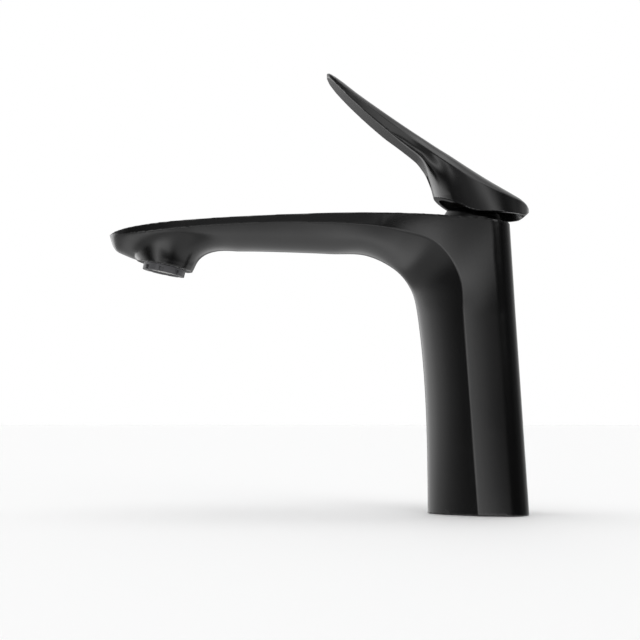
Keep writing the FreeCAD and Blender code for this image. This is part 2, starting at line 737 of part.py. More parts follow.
def eased(table, y):
    """A row of a table whose first column is Y, interpolated by cubic pieces at some other Y."""
    i = max(k for k in range(len(table) - 1) if table[k][0] <= y)
    before, here, there, after = (table[min(max(k, 0), len(table) - 1)] for k in range(i - 1, i + 3))
    span = there[0] - here[0]
    part = (y - here[0]) / span
    row = [y]
    for a, b, c, d in zip(before[1:], here[1:], there[1:], after[1:]):
        slope_here = span * (c - a) / (there[0] - before[0])
        slope_there = span * (d - b) / (after[0] - here[0])
        row.append(b + part * slope_here
                   + part ** 2 * (3 * (c - b) - 2 * slope_here - slope_there)
                   + part ** 3 * (2 * (b - c) + slope_here + slope_there))
    return row


def handle_shell():
    outline = (
        # y, apex, crease half width and height, lower half width and height
        (-73.9, 212.2, 1.6, 211.6, 1.8, 208.5),
        (-73.0, 212.0, 5.0, 210.9, 5.4, 205.0),
        (-71.0, 210.9, 7.6, 208.9, 8.2, 202.0),
        (-67.0, 208.1, 8.9, 205.3, 9.8, 198.7),
        (-60.0, 202.6, 9.3, 199.2, 10.4, 192.2),
        (-50.0, 195.4, 9.1, 191.4, 10.8, 184.2),
        (-40.0, 188.4, 9.0, 183.7, 11.3, 175.6),
        (-32.0, 182.9, 9.6, 177.7, 12.5, 167.0),
        (-26.0, 178.8, 11.0, 173.2, 13.2, 157.0),
        (-20.0, 174.7, 12.6, 168.4, 9.6, 147.0),
        (-16.0, 172.1, 13.6, 165.6, 13.8, 146.0),
        (-12.0, 169.4, 14.4, 162.8, 16.6, 143.5),
        (-7.0, 166.0, 15.0, 159.4, 18.8, 141.0),
        (-2.0, 162.7, 15.2, 156.4, 19.8, 140.0),
        (4.0, 158.9, 14.8, 153.5, 19.8, 140.0),
        (10.0, 155.4, 13.6, 151.1, 18.4, 140.0),
        (15.0, 152.6, 11.6, 149.2, 15.8, 140.0),
        (19.5, 149.9, 8.6, 147.8, 11.6, 140.3),
        (22.4, 147.5, 4.4, 146.4, 6.4, 141.2),
        (23.5, 146.0, 1.8, 145.5, 2.6, 142.0),
    )
    tip, rear = list(outline[:3]), list(outline[-3:])
    first, last = tip[-1][0], rear[0][0]
    steps = 24
    middle = [eased(outline, first + (last - first) * i / steps) for i in range(1, steps)]
    blank = Part.makeLoft([handle_section(*row) for row in tip + middle + rear], True, False, False, 5)
    under = handle_under_line()
    start = under[0].valueAt(under[0].FirstParameter)
    end = under[-1].valueAt(under[-1].LastParameter)
    corners = [end, Vector(0, 40, end.z), Vector(0, 40, 230), Vector(0, -90, 230),
               Vector(0, -90, start.z), start]
    roof = [Part.LineSegment(a, b).toShape() for a, b in zip(corners, corners[1:])]
    above = Part.Face(Part.Wire(under + roof)).extrude(Vector(60, 0, 0))
    above.translate(Vector(-30, 0, 0))
    return blank.common(above)


def oval(half_length, half_width, centre_y, z):
    ellipse = Part.Ellipse(Vector(0, centre_y, z), half_length, half_width)
    wire = Part.Wire(ellipse.toShape())
    wire.rotate(Vector(0, centre_y, z), Vector(0, 0, 1), 90)
    return wire


def hub_hollow():
    """The space under the hub, which clears the dome cap and keeps the stem's boss."""
    wall = value("hub_wall")
    centre = value("hub_centre")
    half_length = value("hub_half_length") - wall
    half_width = value("hub_half_width") - wall
    wires = [oval(half_length, half_width, centre, value("hollow_start")),
             oval(half_length - value("hollow_taper_y"), half_width - value("hollow_taper_x"),
                  centre - 0.6, value("hollow_end"))]
    hollow = Part.makeLoft(wires, True)
    ceiling = [Vector(0, -30, 130), Vector(0, -30, value("hollow_top")),
               Vector(0, 8.0, value("hollow_top")), Vector(0, 24.0, 142.4), Vector(0, 24.0, 130)]
    block = Part.Face(Part.makePolygon(ceiling + ceiling[:1])).extrude(Vector(60, 0, 0))
    block.translate(Vector(-30, 0, 0))
    hollow = hollow.common(block)
    boss = placed(Part.makeCylinder(value("socket_boss"), 20),
                  STEM * Placement(Vector(0, 0, value("socket_boss_start")), Rotation()))
    return hollow.cut(boss)


# The set screw runs forwards from the stem's front face, square to the stem.
FORWARD = Rotation(Vector(1, 0, 0), 90)
SCREW = STEM * Placement(Vector(0, -value("square_half") - 0.02, value("screw_height")), FORWARD)


def handle():
    square = value("square_half + running_gap")
    depth = value("stem_length") - value("socket_boss_start") + 1.2
    socket = placed(Part.makeBox(2 * square, 2 * square, depth, Vector(-square, -square, 0)),
                    STEM * Placement(Vector(0, 0, value("socket_boss_start") - 1), Rotation()))
    shell = handle_shell().cut(hub_hollow()).cut(socket)
    channel = placed(Part.makeCylinder(value("screw_radius + running_gap"), 40), SCREW)
    return shell.cut(channel).removeSplitter()


free_shape("handle", handle())

grub = primitive("Cylinder", "grub_blank", {"Radius": "screw_radius", "Height": "screw_length"}, SCREW)
key = primitive("Prism", "grub_key", {"Circumradius": "pin_radius - 0.05", "Height": "screw_length"},
                SCREW * Placement(Vector(0, 0, value("screw_length") - 3.0), Rotation()))
keep("handle_set_screw", cut("handle_set_screw", grub, [key]))


def plug_placement():
    """The index plug sits where the screw's channel leaves the neck, its face flush with it."""
    far = SCREW.multVec(Vector(0, 0, 40))
    inside = handle_shell().common(Part.makeLine(SCREW.Base, far))
    reach = max(v.Point.distanceToPoint(SCREW.Base) for v in inside.Vertexes)
    return SCREW * Placement(Vector(0, 0, reach - value("plug_length") + 0.2), Rotation())


plug = primitive("Cylinder", "index_plug", {"Radius": "screw_radius", "Height": "plug_length"},
                 plug_placement())
keep("index_plug", plug)

# ---------------------------------------------------------------- aerator, from its lower rim up

RIM = -value("aerator_proud")
aerator = turned("aerator_housing", [("aerator_lip", "0"), ("aerator_radius", "0"),
                                     ("aerator_radius", "aerator_proud + aerator_inside"),
                                     ("aerator_bore", "aerator_proud + aerator_inside"),
                                     ("aerator_bore", "aerator_lip_height"),
                                     ("aerator_lip", "aerator_lip_height")], in_outlet(RIM))
notch = new_sketch(aerator, "key_notch_outline", "XY_Plane")
draw_outline(notch, [("aerator_bore + 0.5", "0 - notch_depth"), ("aerator_radius + 1", "0 - notch_depth"),
                     ("aerator_radius + 1", "notch_depth"), ("aerator_bore + 0.5", "notch_depth")])
key_notch = aerator.newObject("PartDesign::Pocket", "key_notch")
key_notch.Profile = notch
key_notch.Length = value("notch_width")
key_notch.setExpression("Length", formula("notch_width"))
key_notch.Reversed = True
doc.recompute()
notches = aerator.newObject("PartDesign::PolarPattern", "key_notches")
notches.Originals = [key_notch]
notches.Axis = (notch, ["N_Axis"])
notches.Angle = 360
notches.Occurrences = 8
aerator.Tip = notches


def grid_cells():
    """Centres of the jet grid's cells, in hexagonal rows inside its rim."""
    pitch = value("cell_pitch")
    limit = value("grid_radius - cell_radius") - 0.5
    rise = pitch * math.sqrt(3) / 2
    spots = []
    for row in range(-4, 5):
        for column in range(-5, 6):
            spot = Vector((column + 0.5 * (row % 2)) * pitch, row * rise, 0)
            if spot.Length <= limit:
                spots.append(spot)
    return spots


def perforated(label, radius, height, spots, hole, depth):
    """A round plate with straight holes through it."""
    plate = Part.makeCylinder(radius, height)
    holes = [Part.makeCylinder(hole, height + 2, spot - Vector(0, 0, 1)) for spot in spots]
    return free_shape(label, plate.cut(Part.makeCompound(holes)), in_outlet(depth))


perforated("jet_grid", value("grid_radius"), value("grid_height"), grid_cells(), value("cell_radius"),
           RIM + value("aerator_lip_height") + 0.02)
perforated("aerator_screen", value("grid_radius"), value("screen_height"), grid_cells(),
           value("cell_radius") - 0.35, -value("aerator_proud") + value("screen_depth") + 2.2)
ring_of_jets = [Vector(5.6 * math.cos(math.radians(30 * i)), 5.6 * math.sin(math.radians(30 * i)), 0)
                for i in range(12)]
perforated("flow_regulator", value("grid_radius"), value("regulator_height"), ring_of_jets,
           value("cell_radius"), value("regulator_depth"))
turned("aerator_washer", [("washer_bore", "0"), ("aerator_radius", "0"),
                          ("aerator_radius", "outlet_depth - aerator_inside"),
                          ("washer_bore", "outlet_depth - aerator_inside")],
       in_outlet(value("aerator_inside")))

# ---------------------------------------------------------------- check and write

doc.recompute()
for thing in doc.Objects:
    if "Invalid" in thing.State or "Error" in thing.State:
        raise RuntimeError("%s is %s" % (thing.Label, thing.State))
for label, thing in nodes.items():
    if thing.Shape.isNull() or not thing.Shape.isValid():
        raise RuntimeError(label + " has no valid shape")
    print("%-24s solids %d  volume %9.1f" % (label, len(thing.Shape.Solids), thing.Shape.Volume))
    thing.Shape.exportStep("parts/%s.step" % label)
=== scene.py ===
import json
import math

import bpy
import numpy as np
from mathutils import Matrix, Vector


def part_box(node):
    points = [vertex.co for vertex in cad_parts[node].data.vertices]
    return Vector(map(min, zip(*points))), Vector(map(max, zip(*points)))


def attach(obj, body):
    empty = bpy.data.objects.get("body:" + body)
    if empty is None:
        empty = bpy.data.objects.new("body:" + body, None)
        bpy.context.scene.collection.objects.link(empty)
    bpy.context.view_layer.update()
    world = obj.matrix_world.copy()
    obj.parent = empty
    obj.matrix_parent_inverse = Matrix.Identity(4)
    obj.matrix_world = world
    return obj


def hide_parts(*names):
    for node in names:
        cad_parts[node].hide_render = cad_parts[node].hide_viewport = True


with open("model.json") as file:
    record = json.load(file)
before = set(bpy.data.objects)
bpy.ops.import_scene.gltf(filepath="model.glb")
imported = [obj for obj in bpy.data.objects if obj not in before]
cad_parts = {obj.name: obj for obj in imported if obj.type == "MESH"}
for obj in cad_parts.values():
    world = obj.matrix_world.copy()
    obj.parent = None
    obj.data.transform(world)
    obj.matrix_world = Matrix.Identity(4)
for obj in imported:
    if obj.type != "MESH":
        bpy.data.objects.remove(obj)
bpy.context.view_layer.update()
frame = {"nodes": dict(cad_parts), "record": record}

NODES = frame["nodes"]
MM = 0.001


# ------------------------------------------------------------------ mesh tools

def mesh_object(name, points, faces):
    """An object from points in millimetres."""
    mesh = bpy.data.meshes.new(name)
    mesh.from_pydata([tuple(MM * c for c in p) for p in points], [], faces)
    mesh.update()
    obj = bpy.data.objects.new(name, mesh)
    bpy.context.scene.collection.objects.link(obj)
    return obj


def lofted(name, rings):
    """A closed skin over rings of equal length, with flat ends."""
    count = len(rings[0])
    points = [p for ring in rings for p in ring]
    faces = [tuple(range(count))[::-1], tuple((len(rings) - 1) * count + i for i in range(count))]
    for r in range(len(rings) - 1):
        low, high = r * count, (r + 1) * count
        faces += [(low + i, low + (i + 1) % count, high + (i + 1) % count, high + i) for i in range(count)]
    obj = mesh_object(name, points, faces)
    face_outwards(obj)
    return obj


def face_outwards(obj):
    """Turns the faces outwards if the mesh's signed volume is negative."""
    mesh = obj.data
    mesh.calc_loop_triangles()
    corner = np.array([v.co for v in mesh.vertices])
    tri = np.array([t.vertices for t in mesh.loop_triangles])
    a, b, c = corner[tri[:, 0]], corner[tri[:, 1]], corner[tri[:, 2]]
    if np.einsum("ij,ij->i", a, np.cross(b, c)).sum() < 0:
        mesh.flip_normals()


def turned(name, profile, frame_at, sides=96):
    """A solid of revolution from a closed (radius, height) profile, in a frame given as a matrix."""
    rings = []
    for i in range(sides):
        turn = 2 * math.pi * i / sides
        rings.append([frame_at @ Vector((r * math.cos(turn), r * math.sin(turn), h)) for r, h in profile])
    count = len(profile)
    points = [p for ring in rings for p in ring]
    faces = []
    for i in range(sides):
        here, there = i * count, ((i + 1) % sides) * count
        faces += [(here + k, there + k, there + (k + 1) % count, here + (k + 1) % count)
                  for k in range(count)]
    obj = mesh_object(name, points, faces)
    face_outwards(obj)
    return obj


def cylinder(name, radius, start, end, sides=72):
    """A solid cylinder between two points in millimetres."""
    start, end = Vector(start), Vector(end)
    across = (end - start).to_track_quat("Z", "Y").to_matrix()
    turns = [2 * math.pi * i / sides for i in range(sides)]
    circle = [across @ Vector((radius * math.cos(turn), radius * math.sin(turn), 0)) for turn in turns]
    return lofted(name, [[start + c for c in circle], [end + c for c in circle]])


def oval(half, length, middle, z, count):
    """A level oval about the plane of symmetry: half its width, half its length and its middle."""
    turns = np.linspace(0, 2 * math.pi, count + 1)[:-1]
    return [(half * math.cos(t), middle + length * math.sin(t), z) for t in turns]


def baked(obj):
    """Replaces the object's mesh with its evaluated one and drops its modifiers."""
    graph = bpy.context.evaluated_depsgraph_get()
    mesh = bpy.data.meshes.new_from_object(obj.evaluated_get(graph))
    obj.modifiers.clear()
    old, obj.data = obj.data, mesh
    bpy.data.meshes.remove(old)
    return obj


def combine(obj, tools, operation):
    """Applies the tools to obj one by one and removes them."""
    for tool in tools:
        step = obj.modifiers.new("step", "BOOLEAN")
        step.operation = operation
        step.solver = "MANIFOLD"
        step.object = tool
        bpy.context.view_layer.update()
        baked(obj)
        mesh = tool.data
        bpy.data.objects.remove(tool)
        bpy.data.meshes.remove(mesh)
    return obj


def points_and_links(mesh):
    """The mesh's points, and both ends of every edge, each edge listed in both directions."""
    place = np.empty(3 * len(mesh.vertices))
    mesh.vertices.foreach_get("co", place)
    edges = np.empty(2 * len(mesh.edges), np.int64)
    mesh.edges.foreach_get("vertices", edges)
    edges = edges.reshape(-1, 2)
    ends = np.concatenate([edges[:, 0], edges[:, 1]])
    others = np.concatenate([edges[:, 1], edges[:, 0]])
    return place.reshape(-1, 3), ends, others


def neighbour_mean(place, ends, others, count, degree):
    """The mean place of each point's neighbours, for count points."""
    return np.stack([np.bincount(ends, place[others, k], count) for k in range(3)], 1) / degree


# A shrinking step and a slightly stronger swelling step keep a faired skin's size.
FAIRING_PAIR = [0.5, -0.52]
MELTING_PULL = 0.6


def remeshed(obj, size_mm, passes, box):
    """An even quad skin over obj, faired so that its sharp edges take a small radius."""
    step = obj.modifiers.new("skin", "REMESH")
    step.mode = "VOXEL"
    step.voxel_size = size_mm * MM
    bpy.context.view_layer.update()
    baked(obj)
    mesh = obj.data
    place, ends, others = points_and_links(mesh)
    count = len(place)
    degree = np.bincount(ends, minlength=count)[:, None]
    for share in FAIRING_PAIR * passes:
        place = place + share * (neighbour_mean(place, ends, others, count, degree) - place)
    low, high = np.array(box[0]), np.array(box[1])
    place = np.clip(place, low, high)
    mesh.vertices.foreach_set("co", place.ravel())
    mesh.update()
    return obj


def eased_step(values, low, high):
    """0 below low, 1 above high, and smooth between them."""
    t = np.clip((values - low) / (high - low), 0, 1)
    return t * t * (3 - 2 * t)


def blended(obj, weight, passes):
    """Melts the joins of a skin where weight, a function of the points in millimetres, is above 0."""
    mesh = obj.data
    place, ends, others = points_and_links(mesh)
    share = weight(place / MM)
    live = share > 0.001
    near = live[ends]
    ends, others = ends[near], others[near]
    index = np.cumsum(live) - 1
    ends = index[ends]
    total = int(live.sum())
    degree = np.bincount(ends, minlength=total)[:, None]
    pull = MELTING_PULL * share[live][:, None]
    for _ in range(passes):
        place[live] += pull * (neighbour_mean(place, ends, others, total, degree) - place[live])
    mesh.vertices.foreach_set("co", place.ravel())
    mesh.update()
    return obj


def smooth_shaded(obj, angle=32.0):
    """Smooth faces with hard edges only where the surface turns sharply."""
    mesh = obj.data
    mesh.polygons.foreach_set("use_smooth", [True] * len(mesh.polygons))
    mesh.set_sharp_from_angle(angle=math.radians(angle))
    mesh.update()
    return obj


def bezier(poles, count):
    """Points along a Bezier curve, ends included."""
    poles = [np.array(p, float) for p in poles]
    degree = len(poles) - 1
    t = np.linspace(0, 1, count)[:, None]
    terms = [math.comb(degree, i) * t ** i * (1 - t) ** (degree - i) * pole for i, pole in enumerate(poles)]
    return sum(terms)


def cubic(t, span, start, start_slope, end, end_slope):
    """A cubic piece from start to end with the given slopes; t runs from 0 to 1 over the span."""
    return ((2 * t ** 3 - 3 * t ** 2 + 1) * start + (t ** 3 - 2 * t ** 2 + t) * span * start_slope
            + (3 * t ** 2 - 2 * t ** 3) * end + (t ** 3 - t ** 2) * span * end_slope)


def eased(knots, rows, places):
    """Rows interpolated by cubic pieces at other places along their knots."""
    knots, rows = np.array(knots, float), np.array(rows, float)
    slopes = np.empty_like(rows)
    gaps = np.diff(knots)[:, None]
    chords = np.diff(rows, axis=0) / gaps
    slopes[1:-1] = (chords[:-1] * gaps[1:] + chords[1:] * gaps[:-1]) / (gaps[:-1] + gaps[1:])
    slopes[0], slopes[-1] = chords[0], chords[-1]
    found = []
    for place in places:
        i = int(np.clip(np.searchsorted(knots, place) - 1, 0, len(knots) - 2))
        span = knots[i + 1] - knots[i]
        t = (place - knots[i]) / span
        found.append(cubic(t, span, rows[i], slopes[i], rows[i + 1], slopes[i + 1]))
    return np.array(found)


def run_along(points):
    """The distance of each point along the line through them."""
    return np.concatenate([[0], np.cumsum(np.linalg.norm(np.diff(points, axis=0), axis=1))])


def through(points, spacing):
    """A smooth line through YZ points, sampled at about a spacing."""
    points = np.array(points, float)
    run = run_along(points)
    return eased(run, points, np.linspace(0, run[-1], int(run[-1] / spacing) + 2))


# ------------------------------------------------------------------ frames of the cartridge and the outlet

def tilted(y, z, degrees):
    """A frame on the plane of symmetry whose Z axis leans towards +Y."""
    return Matrix.Translation((0, y, z)) @ Matrix.Rotation(math.radians(-degrees), 4, "X")


PIVOT_DEPTH, STEM_LEAN = 5.0, 8.0
CARTRIDGE = tilted(-3.6, 138.2, 6.0)
OUTLET = tilted(-152.05, 117.65, 11.7)
STEM = CARTRIDGE @ tilted(0, -PIVOT_DEPTH, STEM_LEAN)


# ------------------------------------------------------------------ body casting

# Where the column bends into the spout.
BEND_Y, BEND_Z = -60.0, 95.0
# The column's front and how it swells upwards, and its leaning rear with round corners.
NOSE_FRONT, NOSE_SWELL = 26.0, 5.2e-6
REAR, REAR_LEAN, REAR_CORNER = 20.3, 0.0585, 9.5
# The crease between nose and flank, and the widths at the crease and at the rear corner.
CREASE, CREASE_LEAN = 4.3, 0.066
COLUMN_HALF, COLUMN_SWELL, CORNER_SPREAD = 19.0, 0.9, 2.1
CREASE_SLOPE, CORNER_SLOPE = 0.24, 0.03
COLUMN_NOSE_ANGLE, SPOUT_NOSE_ANGLE, NOSE_EASE = 30.0, 40.0, 0.6
# A lid further out than any section reaches, and the least slope at which a section meets the rear.
COLUMN_LID, LEAST_REAR_RUN, REAR_CROWN = 120.0, 0.3, 0.4
# The hollow: its wall, and how its front and its corners follow the outside.
WALL, FRONT_SHARE, CORNER_SHARE = 3.4, 1.35, 0.6
CAVITY_TOP = 84.0
REBATE_INSET, REBATE_HEIGHT = 1.5, 2.5
# The spout's upper strip, from the crease to a little above the flat top.
STRIP_HEIGHT, STRIP_LID = 10.0, 10.5

ELBOW_ROWS = (
    # angle, keel, crease, half width there, slope, reach, half width there, slope, lid
    (20, 29.0, 50.6, 19.2, 0.26, 67.9, 23.1, 0.18, 120.0),
    (40, 28.6, 49.0, 18.9, 0.22, 76.0, 23.4, 0.11, 100.0),
    (60, 28.15, 43.0, 18.8, 0.15, 58.0, 20.6, 0.05, 80.0),
    (78, 28.5, 40.8, 19.2, 0.0, 52.0, 18.7, -0.08, 60.0),
)
SPOUT_ROWS = (
    # y, keel height, crease height, half width at the crease, half width at the strip's height
    (-72.0, 123.9, 136.2, 18.8, 17.6),
    (-92.0, 124.7, 136.6, 18.3, 16.9),
    (-114.0, 125.2, 136.0, 17.9, 16.3),
    (-136.0, 124.6, 134.8, 17.6, 15.6),
    (-152.0, 120.8, 133.2, 17.0, 14.8),
    (-163.0, 120.4, 132.0, 15.2, 13.0),
    (-170.5, 122.9, 131.3, 12.6, 10.4),
    (-175.5, 125.4, 130.9, 9.0, 7.2),
    (-178.2, 128.2, 130.8, 4.0, 2.8),
)
TOP_LINE = ((14.0, 136.2), (0.0, 137.8), (-20.0, 139.9), (-54.0, 141.4), (-92.0, 140.7), (-123.0, 139.3),
            (-142.0, 138.0), (-160.0, 136.2), (-170.0, 134.7), (-180.0, 132.2))
SKIRT = (
    # height over the outlet face, then the radius at the rear, at the sides and at the front
    (0.0, 13.4, 13.4, 13.4),
    (2.6, 14.15, 13.7, 15.9),
    (5.2, 14.9, 14.1, 17.0),
    (7.8, 16.05, 14.6, 17.4),
    (10.4, 18.6, 15.1, 17.0),
    (13.0, 23.3, 15.5, 16.0),
    (15.0, 24.2, 15.5, 15.0),
)
SKIRT_ROUNDNESS = 2.5

# Bores on the cartridge's and the outlet's axes: radius, low end, high end.
CARTRIDGE_BORE = (12.7, -34.0, 26.0)
NUT_THREAD = (13.25, -7.0, 23.0)
OUTLET_BORE = (10.3, -20.0, 9.6)
PORT_RADIUS, PORT_SIDE, PORT_BACK, PORT_DEPTH = 4.5, 6.8, 3.4, 12.0
WAY_RADIUS, WAY_SIDE, WAY_REAR, WAY_END = 2.3, 5.2, 2.4, -33.0
STUD_RADIUS, STUD_BACK, STUD_DEPTH = 3.4, 8.0, 14.0


def evenly(points, count):
    """A polyline resampled to a number of points at equal spacing."""
    points = np.array(points, float)
    run = run_along(points)
    places = np.linspace(0, run[-1], count)
    return np.stack([np.interp(places, run, points[:, k]) for k in range(points.shape[1])], 1)


def rear_half(plan_y, half, inset):
    """Half the column's width at a plan depth: full width, then the rounded rear corner."""
    corner = REAR_CORNER - CORNER_SHARE * inset
    into = np.clip((plan_y - (REAR - inset - corner)) / corner, 0.0, 1.0)
    return half - corner + corner * np.sqrt(1 - into ** 2)


def nose_curve(crease, half, nose_angle):
    """The blunt nose from crease to crease, as (across, out) points."""
    vertex = half - crease * math.tan(math.radians(nose_angle))
    shoulder = (half + NOSE_EASE * (vertex - half), (1 - NOSE_EASE) * crease)
    right = bezier([(0, 0), (NOSE_EASE * vertex, 0), shoulder, (half, crease)], 40)
    return np.vstack([right[::-1] * (-1, 1), right[1:]])


def body_section(nose_y, nose_z, angle, crease, half, lean_out, reach, reach_half, lean_end, lid, nose_angle,
                 inset=0.0):
    """One closed section of the casting, in the plane through its nose point.

    Distances run outwards from the nose: the crease, then the flank's reach, then the lid. The
    flank leans out at the crease and again, less, at its reach. The column's rear cuts it short.
    """
    turn = math.radians(angle)
    rear_run = math.cos(turn) + REAR_LEAN * math.sin(turn)
    plan_start = nose_y + REAR_LEAN * nose_z
    end = lid
    if rear_run > LEAST_REAR_RUN:
        end = min(lid, (REAR - inset - plan_start) / rear_run)
    share = 1 - np.cos(np.linspace(0, math.pi / 2, 400))
    out = end - (end - crease) * share[::-1]
    span = reach - crease
    t = np.clip((out - crease) / span, 0, None)
    bend = np.clip(t, 0, 1)
    width = cubic(bend, span, half, lean_out, reach_half, lean_end) + lean_end * span * (t - bend)
    width = np.minimum(width, rear_half(plan_start + rear_run * out, max(half, reach_half), inset))
    back = end + REAR_CROWN * (rear_run > LEAST_REAR_RUN and end < lid)
    right = evenly(np.vstack([np.stack([width, out], 1), [(0.0, back)]]), 90)[1:]
    left = right[::-1][1:] * (-1, 1)
    flat = [*nose_curve(crease, half, nose_angle), *right, *left]
    return [(x, nose_y + o * math.cos(turn), nose_z + o * math.sin(turn)) for x, o in flat]


def column_row(z, inset=0.0):
    """A level section of the column at a height, or of its hollow if it is inset."""
    front = -NOSE_FRONT - NOSE_SWELL * z ** 3 + FRONT_SHARE * inset
    crease = -CREASE - CREASE_LEAN * z - front
    half = COLUMN_HALF + COLUMN_SWELL * z / BEND_Z - inset
    corner = REAR - inset - REAR_CORNER - REAR_LEAN * z - front
    return [front, z, 0.0, crease, half, CREASE_SLOPE, corner, half + CORNER_SPREAD, CORNER_SLOPE,
            COLUMN_LID, COLUMN_NOSE_ANGLE]


def elbow_row(angle, keel, crease, half, lean_out, reach, reach_half, lean_end, lid):
    """A section through the bend, with its distances taken from the bend's centre."""
    turn = math.radians(angle)
    return [BEND_Y + keel * math.cos(turn), BEND_Z + keel * math.sin(turn), angle, crease - keel, half,
            lean_out, reach - keel, reach_half, lean_end, lid - keel, COLUMN_NOSE_ANGLE]


def spout_row(y, keel, crease, half, top_half):
    """An upright section of the spout."""
    lean = (top_half - half) / STRIP_HEIGHT
    rise = crease - keel
    return [y, keel, 90.0, rise, half, lean, rise + STRIP_HEIGHT, top_half, lean, rise + STRIP_LID,
            SPOUT_NOSE_ANGLE]


def body_rows():
    """The casting's sections from the deck to the spout's tip."""
    rows = [column_row(z) for z in np.linspace(0, BEND_Z, 20)]
    rows += [elbow_row(*row) for row in ELBOW_ROWS]
    rows += [spout_row(*row) for row in SPOUT_ROWS]
    return np.array(rows)


def dense(rows, spacing):
    """Rows at an even spacing along the line of their nose points."""
    run = run_along(rows[:, :2])
    return eased(run, rows, np.linspace(0, run[-1], int(run[-1] / spacing) + 1))


def region(name, outline, half):
    """A YZ region as a solid from -half to +half across."""
    return lofted(name, [[(x, y, z) for y, z in outline] for x in (-half, half)])


def above_top():
    """Everything over the top line, well past the casting on all sides."""
    rear, front, top = 45, -205, 205
    line = [tuple(p) for p in through(TOP_LINE, 1.0)]
    return region("above", [(rear, 136.2), *line, (front, 131.7), (front, top), (rear, top)], 45)


def skirt():
    """The skirt that grows out of the spout's keel and ends in the round outlet face."""
    rows = np.array(SKIRT)
    heights = np.linspace(0, rows[-1, 0], 40)
    rings = []
    for height, (_, rear, side, front) in zip(heights, eased(rows[:, 0], rows, heights)):
        ring = []
        for t in np.linspace(0, 2 * math.pi, 145)[:-1]:
            back = math.cos(t)
            radius = (side + (rear - side) * max(0, back) ** SKIRT_ROUNDNESS
                      + (front - side) * max(0, -back) ** SKIRT_ROUNDNESS)
            ring.append(OUTLET @ Vector((radius * math.sin(t), radius * back, height)))
        rings.append(ring)
    return lofted("skirt", rings)


def around_the_skirt(points):
    """Where the skirt flows into the spout's underside: over the outlet's rim and below the crease."""
    local = (points - np.array(OUTLET.translation)) @ np.array(OUTLET.to_3x3())
    radius = np.hypot(local[:, 0], local[:, 1])
    above_rim = eased_step(local[:, 2], 2.5, 7.0)
    below_crease = 1 - eased_step(points[:, 2], 129.0, 132.5)
    return above_rim * below_crease * (1 - eased_step(radius, 24.0, 33.0))


def bore(frame_at, radius, low, high):
    """A cylinder on a frame's Z axis."""
    return cylinder("bore", radius, frame_at @ Vector((0, 0, low)), frame_at @ Vector((0, 0, high)))


def inner_tools():
    """What is cut out of the casting: hollow, gasket rebate, bores, ports, water ways and stud hole."""
    levels = np.linspace(-1.0, CAVITY_TOP, 9)
    cavity = lofted("cavity", [body_section(*column_row(z, WALL), inset=WALL) for z in levels])
    plan = body_section(*column_row(0.0, REBATE_INSET), inset=REBATE_INSET)
    rebate = lofted("rebate", [[(x, y, z) for x, y, _ in plan] for z in (-1.0, REBATE_HEIGHT)])
    tools = [cavity, rebate, bore(CARTRIDGE, *CARTRIDGE_BORE), bore(CARTRIDGE, *NUT_THREAD),
             bore(OUTLET, *OUTLET_BORE)]
    start, top = CAVITY_TOP - 1, CAVITY_TOP + PORT_DEPTH
    for side in (-1, 1):
        x, y = PORT_SIDE * side, -PORT_BACK
        seat = CARTRIDGE @ Vector((WAY_SIDE * side, WAY_REAR, WAY_END))
        tools.append(cylinder("port", PORT_RADIUS, (x, y, start), (x, y, top)))
        tools.append(cylinder("way", WAY_RADIUS, (x, y, top - 1), seat))
    stud_top = CAVITY_TOP + STUD_DEPTH
    tools.append(cylinder("stud", STUD_RADIUS, (0, STUD_BACK, start), (0, STUD_BACK, stud_top)))
    return tools


def body():
    """The casting: lofted, topped, joined to its skirt, skinned, melted together and bored."""
    form = lofted("mixer_body", [body_section(*row) for row in dense(body_rows(), 1.2)])
    combine(form, [skirt()], "UNION")
    combine(form, [above_top()], "DIFFERENCE")
    remeshed(form, 0.5, 5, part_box("body_casting"))
    blended(form, around_the_skirt, 260)
    return smooth_shaded(combine(form, inner_tools(), "DIFFERENCE"))


# ------------------------------------------------------------------ handle

HANDLE_ROWS = (
    # y, apex, crease half width and height, lower half width and height
    (-73.9, 212.2, 1.6, 211.6, 1.8, 208.5),
    (-73.0, 212.0, 5.0, 210.9, 5.4, 205.0),
    (-71.0, 210.9, 7.6, 208.9, 8.2, 202.0),
    (-67.0, 208.1, 8.9, 205.3, 9.8, 198.7),
    (-60.0, 202.6, 9.3, 199.2, 10.4, 192.2),
    (-50.0, 195.4, 9.1, 191.4, 10.8, 184.2),
    (-40.0, 188.4, 9.0, 183.7, 11.3, 175.6),
    (-32.0, 182.9, 9.6, 177.7, 12.5, 167.0),
    (-26.0, 178.8, 11.0, 173.2, 13.2, 157.0),
    (-20.0, 174.7, 12.6, 168.4, 9.6, 147.0),
    (-16.0, 172.1, 13.6, 165.6, 13.8, 146.0),
    (-12.0, 169.4, 14.4, 162.8, 16.6, 143.5),
    (-7.0, 166.0, 15.0, 159.4, 18.8, 141.0),
    (-2.0, 162.7, 15.2, 156.4, 19.8, 140.0),
    (4.0, 158.9, 14.8, 153.5, 19.8, 140.0),
    (10.0, 155.4, 13.6, 151.1, 18.4, 140.0),
    (15.0, 152.6, 11.6, 149.2, 15.8, 140.0),
    (19.5, 149.9, 8.6, 147.8, 11.6, 140.3),
    (22.4, 147.5, 4.4, 146.4, 6.4, 141.2),
    (23.5, 146.0, 1.8, 145.5, 2.6, 142.0),
)
HUB_OVALS = (
    # height, front and half width
    (138.0, -22.2, 20.2), (151.0, -22.3, 20.2), (155.0, -23.2, 20.3), (159.0, -24.6, 20.8),
    (163.0, -26.8, 22.0), (167.0, -30.4, 25.0), (170.0, -38.0, 31.0), (173.0, -56.0, 45.0),
    (176.0, -90.0, 60.0), (220.0, -100.0, 70.0),
)
OVAL_REAR = 26.0
